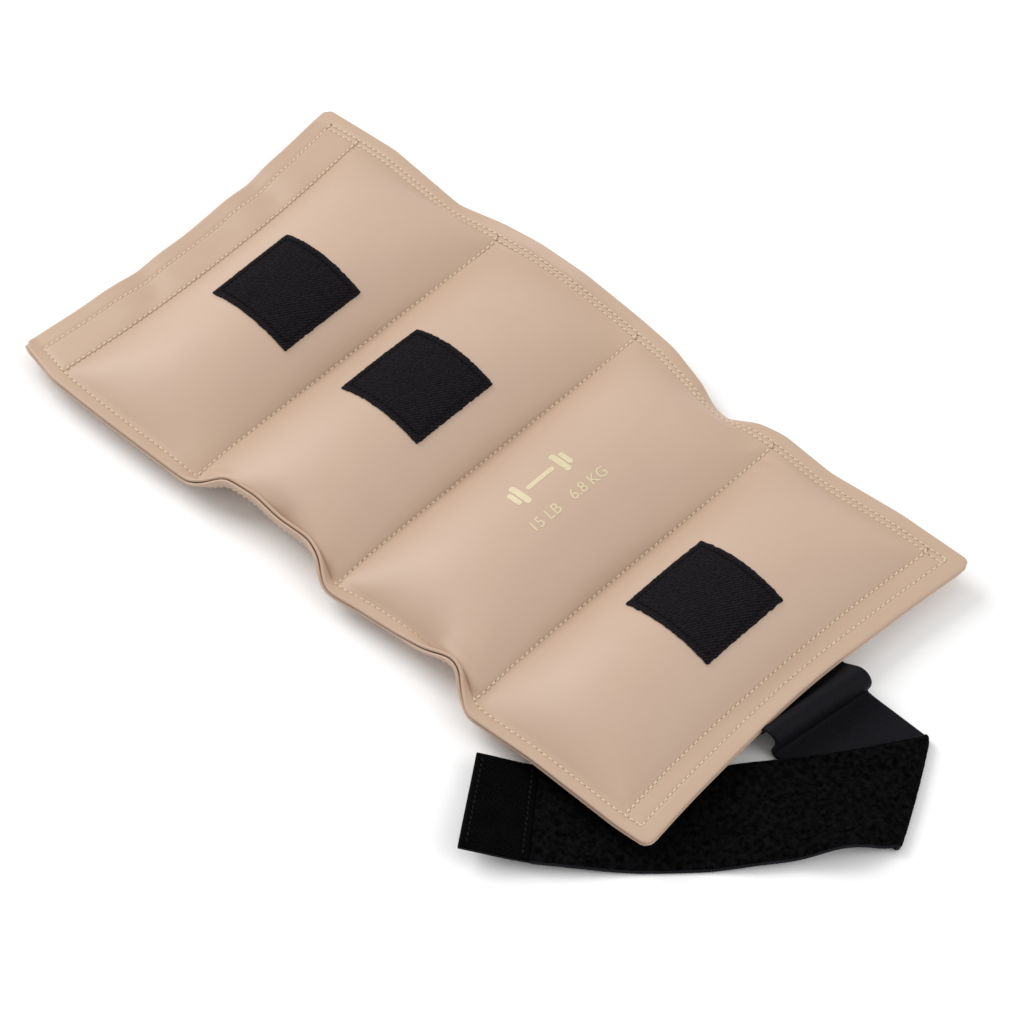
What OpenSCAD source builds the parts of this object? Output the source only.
// Ankle cuff weight: a row of four shot-filled pockets in a vinyl cover, with three
// hook patches on the outside and one loop strap sewn under the near flap.
// Millimetres. +X runs along the cuff towards the strap, +Y towards the double-sewn
// side, +Z up. The origin is under the middle seam, on the table.

/* [Cuff] */
// Distance from one cross seam to the next
pocket_pitch = 92; // [75:1:112]
// Width of the cuff over both side hems
cuff_width = 214; // [175:1:260]
// Width of the flat side hem outside the pockets
hem_w = 6; // [4:0.5:10]
// Height of the seams above the table
seam_height = 12; // [10.5:0.5:15]
// Height of a filled pocket's crown above the table
crown_height = 33; // [28:1:42]
// Radius of the rounding at the two ends of a pocket
end_radius = 40; // [32:1:50]
// How far a pocket's lifted corners run in along the table
corner_run = 66; // [60:1:80]
// Length of the plain flap past the far seam
far_flap_length = 27; // [20:1:40]
// Length of the flap past the near seam, which carries the strap
near_flap_length = 18; // [15:1:28]
// Rounding of the four outer corners
corner_radius = 7; // [3:1:12]

/* [Cover and filling] */
// Thickness of the vinyl over the pockets
cover_t = 1.2; // [0.8:0.1:1.5]
// Thickness of one folded layer in the hems and flaps
hem_t = 1.9; // [1.4:0.1:2.4]
// Wall of the shot bag inside each pocket
liner_t = 0.5; // [0.3:0.1:0.8]
// Clearance between cover, bag and shot
fill_clearance = 0.3; // [0.1:0.1:0.6]

/* [Thread] */
// Thickness of the sewing thread
thread_d = 1; // [0.6:0.1:1.2]
// Length of one stitch
stitch_l = 2.6; // [1.5:0.1:3.5]
// Stitches along one side of a pocket
stitches_per_pocket = 20; // [10:1:28]
// Distance between the two rows on the double-sewn side
double_row_gap = 3; // [2:0.5:5]
// Distance of the outer cross rows on the flaps from the flap's edge
flap_row_inset = 9; // [6:0.5:12]

/* [Hook patches] */
// Side of a square hook patch
patch_w = 50.8; // [38:0.1:60]
// Thickness of a hook patch
patch_t = 1.4; // [0.8:0.1:2]
// Distance of the patch stitching from the patch's edge
patch_row_inset = 3; // [2:0.5:6]
// Stitches along one side of a patch
stitches_per_patch = 9; // [5:1:14]

/* [Strap] */
// Width of the strap
strap_w = 54; // [40:1:65]
// Thickness of the woven backing
webbing_t = 1; // [0.8:0.1:1.5]
// Thickness of the loop pile
pile_t = 1.6; // [1:0.1:2]
// Where the strap lies across the cuff
strap_y = 1.5; // [-20:0.5:20]
// How far the folded tail stays clear of the near flap's edge
tail_clearance = 13.9; // [10:0.1:40]
// Angle between the strap and its diagonal fold
fold_angle = 61; // [55:1:70]
// Length of the strap from the fold to its free end
tail_length = 201; // [150:1:240]
// How far the tail's direction turns over that length
tail_turn = 23; // [10:1:40]
// Length of the hook strip at the free end
hook_tip_length = 30; // [20:1:45]

/* [Hidden] */

vinyl = [0.82, 0.71, 0.61];
thread = [0.90, 0.82, 0.70];
black = [0.07, 0.07, 0.08];

pockets = 4;
vault_steps = 5;         // flats from a vault's edge to its crown
hinge_gap = 0.8;         // from a seam's axis to the tip of a pocket's lip
flap_gap = 2.4;          // from a seam's axis to a flap
part_gap = 0.3;          // between pieces that move past each other
thread_proud = 0.4;      // how far a stitch stands out of the cover
tie_reach = 2.2;         // how far a seam's ties run into the lip that holds them
reach = 400;             // longer than any piece that it cuts

half_pocket = pocket_pitch / 2 - hinge_gap;
half_fill = cuff_width / 2 - hem_w;
rise = crown_height - seam_height;
vault_radius = (half_pocket * half_pocket + rise * rise) / (2 * rise);
strap_t = webbing_t + pile_t;
near_seam_x = pocket_pitch * pockets / 2;
near_edge_x = near_seam_x + near_flap_length;
lead_crossing = strap_w / 2 * tan(fold_angle);   // how far the tail runs over the lead
far_edge_x = -near_seam_x - far_flap_length;

// Where seam k lies, counted from 0 at the far end
function seam_x(k) = (k - pockets / 2) * pocket_pitch;

// Where two lines meet, each given by the angle of its normal and its distance from 0
function meet(a, b) =
    let (d = cos(a[0]) * sin(b[0]) - sin(a[0]) * cos(b[0]))
    [(a[1] * sin(b[0]) - b[1] * sin(a[0])) / d, (b[1] * cos(a[0]) - a[1] * cos(b[0])) / d];

// The lines round the right half of a pillow's section, from its flat bottom over the
// 45 degree underside and the vault to its crown. inset moves every line inwards.
function pillow_lines(half_span, radius, inset) =
    let (cz = crown_height - radius,
         cx = half_span - sqrt(radius * radius - pow(seam_height - cz, 2)),
         first = asin((seam_height - cz) / radius))
    concat([[-90, -inset], [-45, (half_span - seam_height) / sqrt(2) - inset]],
           [for (j = [0:vault_steps])
               let (a = first + (90 - first) * j / vault_steps)
               [a, cx * cos(a) + cz * sin(a) + radius - inset]]);

// The closed outline of a pillow's section
function pillow_points(half_span, radius, inset) =
    let (lines = pillow_lines(half_span, radius, inset),
         right = [for (j = [0:len(lines) - 2]) meet(lines[j], lines[j + 1])])
    concat(right, [for (j = [len(right) - 1:-1:0]) [-right[j][0], right[j][1]]]);

// A section in X and Z carried along Y
module along_y(points) {
    rotate([90, 0, 0]) linear_extrude(height = reach, center = true) polygon(points);
}

// A section in Y and Z carried along X
module along_x(points) {
    rotate([90, 0, 90]) linear_extrude(height = reach, center = true) polygon(points);
}

// Lifts two opposite bottom corners of a pocket off the table
module corner_slopes(inset) {
    corner = (pocket_pitch / 2 + half_fill) / sqrt(2);
    run = corner_run / sqrt(2);
    slope = seam_height / run;
    drop = inset * sqrt(1 + slope * slope);
    flat = corner - run - (drop - inset) / slope;
    top = flat + (crown_height + patch_t + thread_d) / slope;
    along_x([[-flat, inset], [flat, inset], [top, inset + (top - flat) * slope],
             [-top, inset + (top - flat) * slope]]);
}

// The filled pocket's outer form, moved inwards by inset, centred on the pocket
module pillow(inset) {
    intersection() {
        along_y(pillow_points(half_pocket, vault_radius, inset));
        along_x(pillow_points(half_fill, end_radius, inset));
        rotate([0, 0, 45]) corner_slopes(inset);
        rotate([0, 0, -45]) corner_slopes(inset);
    }
}

// The layer of a pillow between two insets
module pillow_layer(outer, inner) {
    difference() {
        pillow(outer);
        pillow(inner);
    }
}

// A block in X and Y between two heights
module slab(size, low, high) {
    translate([-size[0] / 2, -size[1] / 2, low]) cube([size[0], size[1], high - low]);
}

// The flat hems along both sides of a pocket, between two heights, bevelled for the seams
module side_hems(low, high) {
    width = hem_w + cover_t;
    intersection() {
        along_y(pillow_points(half_pocket, vault_radius, 0));
        for (side = [-1, 1])
            translate([0, side * (cuff_width - width) / 2, 0])
                slab([pocket_pitch, width], low, high);
    }
}

module at_pocket(k) {
    translate([(seam_x(k - 1) + seam_x(k)) / 2, 0, 0]) children();
}

module top_cover(k) {
    color(vinyl) at_pocket(k) {
        intersection() {
            pillow_layer(0, cover_t);
            slab([pocket_pitch, cuff_width], seam_height, crown_height + 1);
        }
        side_hems(seam_height, seam_height + hem_t);
    }
}

module bottom_cover(k) {
    color(vinyl) at_pocket(k) {
        intersection() {
            pillow_layer(0, cover_t);
            slab([pocket_pitch, cuff_width], -1, seam_height);
        }
        side_hems(seam_height - hem_t, seam_height);
    }
}

bag_inset = cover_t + fill_clearance;
fill_inset = bag_inset + liner_t + fill_clearance;

module shot_bag(k) {
    color([0.85, 0.85, 0.8]) at_pocket(k) pillow_layer(bag_inset, bag_inset + liner_t);
}

module shot_fill(k) {
    color([0.45, 0.46, 0.48]) at_pocket(k) pillow(fill_inset);
}

// Thin blocks along X at y, one for each stitch of a pocket's side
module stitch_row(y, low, high) {
    step = pocket_pitch / stitches_per_pocket;
    for (j = [1:stitches_per_pocket - 2])
        translate([(j + 0.5) * step - pocket_pitch / 2, y, 0])
            slab([stitch_l, thread_d], low, high);
}

module side_stitching(k) {
    row_y = half_fill + thread_d;
    hem_top = seam_height + hem_t;
    color(thread) at_pocket(k) {
        for (side = [-1, 1])
            stitch_row(side * row_y, hem_top, hem_top + thread_proud);
        intersection() {
            stitch_row(row_y - double_row_gap, seam_height, crown_height);
            pillow_layer(-thread_proud, 0);
        }
    }
}

// The thread that closes seam k, on the seam's axis, with ties into the lip that holds
// it: the lip on the side given by hold, -1 for the pocket before and 1 for the one after
module seam_thread(k, hold) {
    ties = stitches_per_pocket * 2;
    step = 2 * half_fill / ties;
    color(thread) translate([seam_x(k), 0, seam_height]) {
        rotate([90, 0, 0]) cylinder(d = thread_d, h = 2 * half_fill, center = true, $fn = 24);
        for (j = [0:ties - 1])
            translate([hold * tie_reach / 2, (j + 0.5) * step - half_fill, 0])
                slab([tie_reach, thread_d], -thread_d / 4, thread_d / 4);
    }
}

module hook_patch(k) {
    color(black) at_pocket(k) intersection() {
        slab([patch_w, patch_w], seam_height, crown_height + 2 * patch_t);
        pillow_layer(-patch_t, 0);
    }
}

module patch_stitching(k) {
    side = patch_w - 2 * patch_row_inset;
    step = side / stitches_per_patch;
    color(black) at_pocket(k) intersection() {
        for (turn = [0:90:270])
            rotate([0, 0, turn])
                for (j = [0:stitches_per_patch - 1])
                    translate([(j + 0.5) * step - side / 2, side / 2, 0])
                        slab([stitch_l, thread_d / 2], seam_height, crown_height + 3 * patch_t);
        pillow_layer(-patch_t - thread_proud, -patch_t);
    }
}

// A flap's outline from X = 0 outwards, with its two outer corners rounded
module flap_outline(length) {
    translate([0, -cuff_width / 2]) square([length - corner_radius, cuff_width]);
    translate([0, corner_radius - cuff_width / 2])
        square([length, cuff_width - 2 * corner_radius]);
    for (side = [-1, 1])
        translate([length - corner_radius, side * (cuff_width / 2 - corner_radius)])
            circle(r = corner_radius, $fn = 48);
}

// One layer of a flap on the near side, between two heights
module flap_layer(length, low, high) {
    translate([0, 0, low]) linear_extrude(height = high - low) difference() {
        flap_outline(length);
        translate([-reach / 2 + flap_gap, 0]) square(reach, center = true);
    }
}

// The stitches on a flap: one cross row, and the side rows carried on from the pockets
module flap_rows(length) {
    step = pocket_pitch / stitches_per_pocket;
    low = seam_height + hem_t;
    row_y = half_fill + thread_d;
    row_count = floor(2 * half_fill / step);
    for (j = [0:row_count - 1])
        translate([length - flap_row_inset, (j - (row_count - 1) / 2) * step, 0])
            slab([thread_d, stitch_l], low, low + thread_proud);
    for (side = [-1, 1], j = [1:floor((length - flap_row_inset) / step)])
        translate([j * step, side * row_y, 0])
            slab([stitch_l, thread_d], low, low + thread_proud);
}

module near_flap_place() {
    translate([near_seam_x, 0, 0]) children();
}

module far_flap_place() {
    mirror([1, 0, 0]) translate([near_seam_x, 0, 0]) children();
}

module far_flap_top_cover() {
    color(vinyl) far_flap_place()
        flap_layer(far_flap_length, seam_height, seam_height + hem_t);
}

module far_flap_bottom_cover() {
    color(vinyl) far_flap_place()
        flap_layer(far_flap_length, seam_height - hem_t, seam_height);
}

module far_flap_stitching() {
    color(thread) far_flap_place() flap_rows(far_flap_length);
}

module near_flap_top_cover() {
    color(vinyl) near_flap_place()
        flap_layer(near_flap_length, seam_height, seam_height + hem_t);
}

module near_flap_bottom_cover() {
    color(vinyl) near_flap_place()
        flap_layer(near_flap_length, seam_height - hem_t, seam_height);
}

module near_flap_stitching() {
    color(thread) near_flap_place() flap_rows(near_flap_length);
}

// The strap leaves the near flap at a bend just past the flap's edge
anchor_top = seam_height - hem_t;
exit_z = anchor_top - strap_t / 2;
exit_x = near_edge_x + strap_t / 2 + 1;
anchor_start_x = near_seam_x + flap_gap + 1;
anchor_end_x = exit_x - strap_t / 2 - part_gap;
box_inset = 3;

module strap_anchor_tab() {
    color(black) translate([(anchor_start_x + anchor_end_x) / 2, strap_y, 0])
        slab([anchor_end_x - anchor_start_x, strap_w], anchor_top - strap_t, anchor_top);
}

module strap_box_stitching() {
    box = [anchor_end_x - anchor_start_x - 2 * box_inset, strap_w - 2 * box_inset];
    rows = floor(box[1] / (2 * stitch_l));
    low = anchor_top - strap_t - thread_proud;
    color(black) translate([(anchor_start_x + anchor_end_x) / 2, strap_y, 0]) {
        for (side = [-1, 1], j = [0:rows - 1])
            translate([side * box[0] / 2, (j - (rows - 1) / 2) * 2 * stitch_l, 0])
                slab([thread_d / 2, stitch_l], low, low + thread_proud);
        for (side = [-1, 1], along = [-1, 1])
            translate([along * box[0] / 4, side * box[1] / 2, 0])
                slab([stitch_l, thread_d / 2], low, low + thread_proud);
    }
}

// The lead: straight out of the bend, down in an S of two equal arcs, and along the table
s_turn = 110;
s_steps = 10;
s_start = 1;
lead_z = strap_t / 2;
s_radius = (exit_z - lead_z) / (2 * (1 - cos(s_turn)));
fold_x = near_edge_x + tail_clearance + lead_crossing;

// Points of the lead's line, each with its heading, moved to the left of it by off
function lead_line(off) =
    let (x1 = exit_x + s_start,
         x2 = x1 + 2 * s_radius * sin(s_turn))
    concat([[exit_x, exit_z + off]],
        [for (j = [0:s_steps]) let (a = s_turn * j / s_steps)
            [x1 + (s_radius + off) * sin(a), exit_z - s_radius + (s_radius + off) * cos(a)]],
        [for (j = [1:s_steps]) let (a = s_turn * (1 - j / s_steps))
            [x2 - (s_radius - off) * sin(a), lead_z + s_radius - (s_radius - off) * cos(a)]],
        [[fold_x + strap_w, lead_z + off]]);

// Everything before the fold, up to a height. The fold is the line at fold_angle to the strap.
module before_fold(height) {
    translate([fold_x, strap_y, 0]) rotate([0, 0, 90 - fold_angle])
        translate([-reach, -reach / 2, -1]) cube([reach, reach, height + 1]);
}

// One layer of the lead, between two distances to the left of its line
module lead_layer(low, high) {
    line_low = lead_line(low);
    line_high = lead_line(high);
    back = [for (j = [len(line_high) - 1:-1:0]) line_high[j]];
    intersection() {
        translate([0, strap_y, 0]) rotate([90, 0, 0])
            linear_extrude(height = strap_w, center = true) polygon(concat(line_low, back));
        before_fold(seam_height * 2);
    }
}

pile_side = strap_t / 2 - webbing_t;

module strap_lead_webbing() {
    color(black) lead_layer(pile_side, strap_t / 2);
}

module strap_lead_loop_pile() {
    color([0.12, 0.12, 0.13]) {
        lead_layer(-strap_t / 2, pile_side);
        bend_end();
    }
}

// The rounded end of the lead, on the axis of the bend at the flap's edge
module bend_end() {
    intersection() {
        translate([exit_x, strap_y, exit_z]) rotate([90, 0, 0])
            cylinder(r = strap_t / 2, h = strap_w, center = true, $fn = 32);
        translate([exit_x - strap_t, strap_y - strap_w / 2, 0])
            cube([strap_t, strap_w, seam_height]);
    }
}

// The tail: folded back over the lead, it turns gently and comes down to the table
tail_heading = 360 - 2 * fold_angle;
over_lead = lead_crossing + 19.3;
on_table = over_lead + 30;

// Heading of the tail's line at distance s from the fold
function heading(s) = tail_heading - tail_turn * s / tail_length;

// Point of the tail's line at distance s from the fold, moved to its left by off
function tail_point(s, off) =
    let (r = tail_length / (tail_turn * PI / 180), h = heading(s))
    [fold_x + r * (sin(tail_heading) - sin(h)) - off * sin(h),
     strap_y + r * (cos(h) - cos(tail_heading)) + off * cos(h)];

// Height of the tail's underside at distance s from the fold
function tail_z(s) =
    let (t = min(1, max(0, (s - over_lead) / (on_table - over_lead))))
    (strap_t + part_gap) * (1 - t * t * (3 - 2 * t));

// Distances from the fold at which the tail's sections stand: along the pile, then along
// the hook strip, so that the layers on each other share their facets
hook_start = tail_length - hook_tip_length;
pile_sections = 32;
hook_sections = 4;
stations = concat(
    [for (j = [0:pile_sections]) -strap_w + j * (hook_start + strap_w) / pile_sections],
    [for (j = [1:hook_sections]) hook_start + j * hook_tip_length / hook_sections]);

// A ribbon along the tail's line from section first to section last, between two heights
// in the strap. Each face between two sections is cut along the same diagonal.
module tail_ribbon(first, last, low, high) {
    rings = [for (j = [first:last]) let (s = stations[j], z = tail_z(s),
             left = tail_point(s, strap_w / 2), right = tail_point(s, -strap_w / 2))
             [[left[0], left[1], z + low], [right[0], right[1], z + low],
              [right[0], right[1], z + high], [left[0], left[1], z + high]]];
    points = [for (ring = rings) each ring];
    end = 4 * (last - first);
    bottom = [for (a = [0:4:end - 4]) each [[a, a + 1, a + 5], [a, a + 5, a + 4]]];
    top = [for (a = [0:4:end - 4]) each [[a + 2, a + 3, a + 6], [a + 3, a + 7, a + 6]]];
    right_edge = [for (a = [0:4:end - 4]) [a + 1, a + 2, a + 6, a + 5]];
    left_edge = [for (a = [0:4:end - 4]) [a + 3, a, a + 4, a + 7]];
    polyhedron(points, concat([[3, 2, 1, 0]], bottom, top, right_edge, left_edge,
               [[end, end + 1, end + 2, end + 3]]));
}

// A layer of the tail from the fold to section last
module tail_layer(last, low, high) {
    intersection() {
        tail_ribbon(0, last, low, high);
        before_fold(seam_height);
    }
}

module strap_tail_webbing() {
    color(black) tail_layer(pile_sections + hook_sections, 0, webbing_t);
}

module strap_tail_loop_pile() {
    color([0.12, 0.12, 0.13]) tail_layer(pile_sections, webbing_t, strap_t);
}

module strap_tip_hook_strip() {
    color([0.09, 0.09, 0.10])
        tail_ribbon(pile_sections, pile_sections + hook_sections, webbing_t, strap_t);
}

module strap_tip_stitching() {
    edge = strap_w / 2 - patch_row_inset;
    count = floor(2 * edge / (2 * stitch_l));
    for (row = [hook_start + patch_row_inset, tail_length - patch_row_inset],
         j = [0:count - 1]) {
        place = tail_point(row, (j - (count - 1) / 2) * 2 * stitch_l);
        color(black) translate([place[0], place[1], 0]) rotate([0, 0, heading(row)])
            slab([thread_d / 2, stitch_l], strap_t, strap_t + thread_proud);
    }
}

for (k = [1:4]) {
    top_cover(k);
    bottom_cover(k);
    shot_bag(k);
    shot_fill(k);
    side_stitching(k);
}
for (k = [0:4])
    seam_thread(k, k < 2 ? 1 : -1);
for (k = [1, 2, 4]) {
    hook_patch(k);
    patch_stitching(k);
}
far_flap_top_cover();
far_flap_bottom_cover();
far_flap_stitching();
near_flap_top_cover();
near_flap_bottom_cover();
near_flap_stitching();
strap_anchor_tab();
strap_box_stitching();
strap_lead_webbing();
strap_lead_loop_pile();
strap_tail_webbing();
strap_tail_loop_pile();
strap_tip_hook_strip();
strap_tip_stitching();
